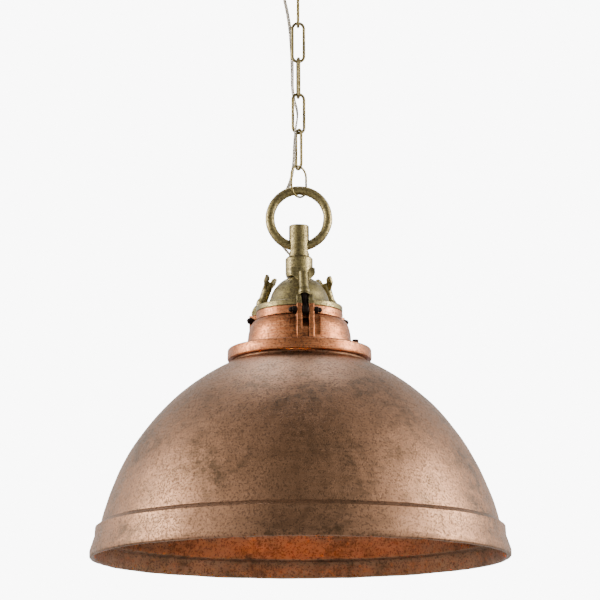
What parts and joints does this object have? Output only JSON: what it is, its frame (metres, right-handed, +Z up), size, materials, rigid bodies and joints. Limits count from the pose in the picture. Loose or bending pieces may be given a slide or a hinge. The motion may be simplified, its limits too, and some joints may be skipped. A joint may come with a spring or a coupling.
{
  "type": "dome pendant light",
  "caption": "Nautical dome pendant light: cast copper-finished shade, brass cap clamped by swing bolts with wing nuts, hung by a ring and chain from a ceiling canopy.",
  "frame": {"origin": "centre of the ceiling strap's top face, on the ceiling plane", "axes": "+Z up, towards the ceiling; -Y is the front; the shade opens towards -Z"},
  "size_m": [0.5336, 0.5336, 0.818],
  "materials": {
    "antique_copper": "sand-cast, copper-plated and darkened, satin, pitted",
    "rubbed_copper": "sand-cast, copper-plated, rubbed bright on edges, satin",
    "antique_brass": "cast brass, darkened olive, rubbed bright on edges",
    "black_iron": "black oxide, slightly rough",
    "zinc_steel": "zinc plated",
    "nickel_brass": "nickel plated, bright",
    "porcelain": "white glaze",
    "frosted_glass": "acid-frosted inside, warm lit",
    "black_plastic": "moulded nylon, matt",
    "clear_vinyl": "clear flexible vinyl over stranded silvered wire"
  },
  "bodies": {
    "canopy_set": {"ceiling_strap": "zinc_steel", "strap_nut": "zinc_steel", "canopy_nipple": "zinc_steel", "canopy": "antique_brass", "canopy_collar": "antique_brass", "canopy_loop": "antique_brass", "terminal_block": "black_plastic", "canopy_grommet": "black_plastic", "supply_cord": "clear_vinyl"},
    "link_1": {"chain_link_1": "antique_brass"},
    "link_2": {"chain_link_2": "antique_brass"},
    "link_3": {"chain_link_3": "antique_brass"},
    "link_4": {"chain_link_4": "antique_brass"},
    "link_5": {"chain_link_5": "antique_brass"},
    "oval": {"oval_link": "antique_brass"},
    "ring": {"suspension_ring": "antique_brass"},
    "lamp": {"shade": "antique_copper", "collar_ring": "rubbed_copper", "collar_screw_front": "black_iron", "collar_screw_rear": "black_iron", "neck": "rubbed_copper", "neck_screw_1": "zinc_steel", "neck_screw_2": "zinc_steel", "neck_screw_3": "zinc_steel", "cap": "antique_brass", "stem": "antique_brass", "stem_locknut": "zinc_steel", "holder_nipple": "zinc_steel", "lamp_holder": "porcelain", "screw_shell": "nickel_brass", "centre_contact": "nickel_brass", "lamp_glass": "frosted_glass", "lamp_cap": "nickel_brass", "lamp_contact": "black_plastic", "cord_gland": "black_plastic", "pivot_pin_front": "black_iron", "pin_nut_front_1": "black_iron", "pin_nut_front_2": "black_iron", "pivot_pin_right": "black_iron", "pin_nut_right_1": "black_iron", "pin_nut_right_2": "black_iron", "pivot_pin_left": "black_iron", "pin_nut_left_1": "black_iron", "pin_nut_left_2": "black_iron"},
    "bolt_front": {"swing_bolt_front": "black_iron"},
    "washer_front": {"washer_front": "antique_brass"},
    "nut_front": {"wing_nut_front": "antique_brass"},
    "bolt_right": {"swing_bolt_right": "black_iron"},
    "washer_right": {"washer_right": "antique_brass"},
    "nut_right": {"wing_nut_right": "antique_brass"},
    "bolt_left": {"swing_bolt_left": "black_iron"},
    "washer_left": {"washer_left": "antique_brass"},
    "nut_left": {"wing_nut_left": "antique_brass"}
  },
  "joints": [
    {"name": "link_1_swing", "type": "hinge", "parent": "canopy_set", "child": "link_1", "pos_m": [0, 0, -0.0648], "axis": [1, 0, 0], "range_deg": [-60, 60], "deforming": ["supply_cord"]},
    {"name": "link_2_swing", "type": "hinge", "parent": "link_1", "child": "link_2", "pos_m": [0, 0, -0.113], "axis": [0, 1, 0], "range_deg": [-60, 60]},
    {"name": "link_3_swing", "type": "hinge", "parent": "link_2", "child": "link_3", "pos_m": [0, 0, -0.1617], "axis": [-1, 0, 0], "range_deg": [-60, 60]},
    {"name": "link_4_swing", "type": "hinge", "parent": "link_3", "child": "link_4", "pos_m": [0, 0, -0.2104], "axis": [0.1392, -0.9903, 0], "range_deg": [-60, 60]},
    {"name": "link_5_swing", "type": "hinge", "parent": "link_4", "child": "link_5", "pos_m": [0, 0, -0.2591], "axis": [0.9781, 0.2079, 0], "range_deg": [-60, 60]},
    {"name": "oval_swing", "type": "hinge", "parent": "link_5", "child": "oval", "pos_m": [0, 0, -0.3078], "axis": [0.454, -0.891, 0], "range_deg": [-45, 45]},
    {"name": "ring_swing", "type": "hinge", "parent": "oval", "child": "ring", "pos_m": [0, 0, -0.3455], "axis": [0.7071, 0.7071, 0], "range_deg": [-8, 8]},
    {"name": "lamp_swing", "type": "hinge", "parent": "ring", "child": "lamp", "pos_m": [0, 0, -0.4122], "axis": [-1, 0, 0], "range_deg": [-85, 85]},
    {"name": "bolt_front_swing", "type": "hinge", "parent": "lamp", "child": "bolt_front", "pos_m": [0.00762, -0.06203, -0.5082], "axis": [0.9925, 0.1219, 0], "range_deg": [0, 150]},
    {"name": "washer_front_lift", "type": "slide", "parent": "bolt_front", "child": "washer_front", "axis": [-0.0447, 0.3638, 0.9304], "range_m": [0, 0.0076]},
    {"name": "nut_front_turn", "type": "hinge", "parent": "washer_front", "child": "nut_front", "pos_m": [0.00762, -0.06203, -0.5082], "axis": [-0.0447, 0.3638, 0.9304], "range_deg": [0, 2160]},
    {"name": "bolt_right_swing", "type": "hinge", "parent": "lamp", "child": "bolt_right", "pos_m": [0.04992, 0.03761, -0.5082], "axis": [-0.6018, 0.7986, 0], "range_deg": [0, 150]},
    {"name": "washer_right_lift", "type": "slide", "parent": "bolt_right", "child": "washer_right", "axis": [-0.2927, -0.2206, 0.9304], "range_m": [0, 0.0076]},
    {"name": "nut_right_turn", "type": "hinge", "parent": "washer_right", "child": "nut_right", "pos_m": [0.04992, 0.03761, -0.5082], "axis": [-0.2927, -0.2206, 0.9304], "range_deg": [0, 2160]},
    {"name": "bolt_left_swing", "type": "hinge", "parent": "lamp", "child": "bolt_left", "pos_m": [-0.05753, 0.02442, -0.5082], "axis": [-0.3907, -0.9205, 0], "range_deg": [0, 150]},
    {"name": "washer_left_lift", "type": "slide", "parent": "bolt_left", "child": "washer_left", "axis": [0.3374, -0.1432, 0.9304], "range_m": [0, 0.0076]},
    {"name": "nut_left_turn", "type": "hinge", "parent": "washer_left", "child": "nut_left", "pos_m": [-0.05753, 0.02442, -0.5082], "axis": [0.3374, -0.1432, 0.9304], "range_deg": [0, 2160]}
  ],
  "couplings": [
    {"joint": "washer_front_lift", "follows": "nut_front_turn", "m_per_rad": 0.00019894},
    {"joint": "washer_right_lift", "follows": "nut_right_turn", "m_per_rad": 0.00019894},
    {"joint": "washer_left_lift", "follows": "nut_left_turn", "m_per_rad": 0.00019894}
  ]
}
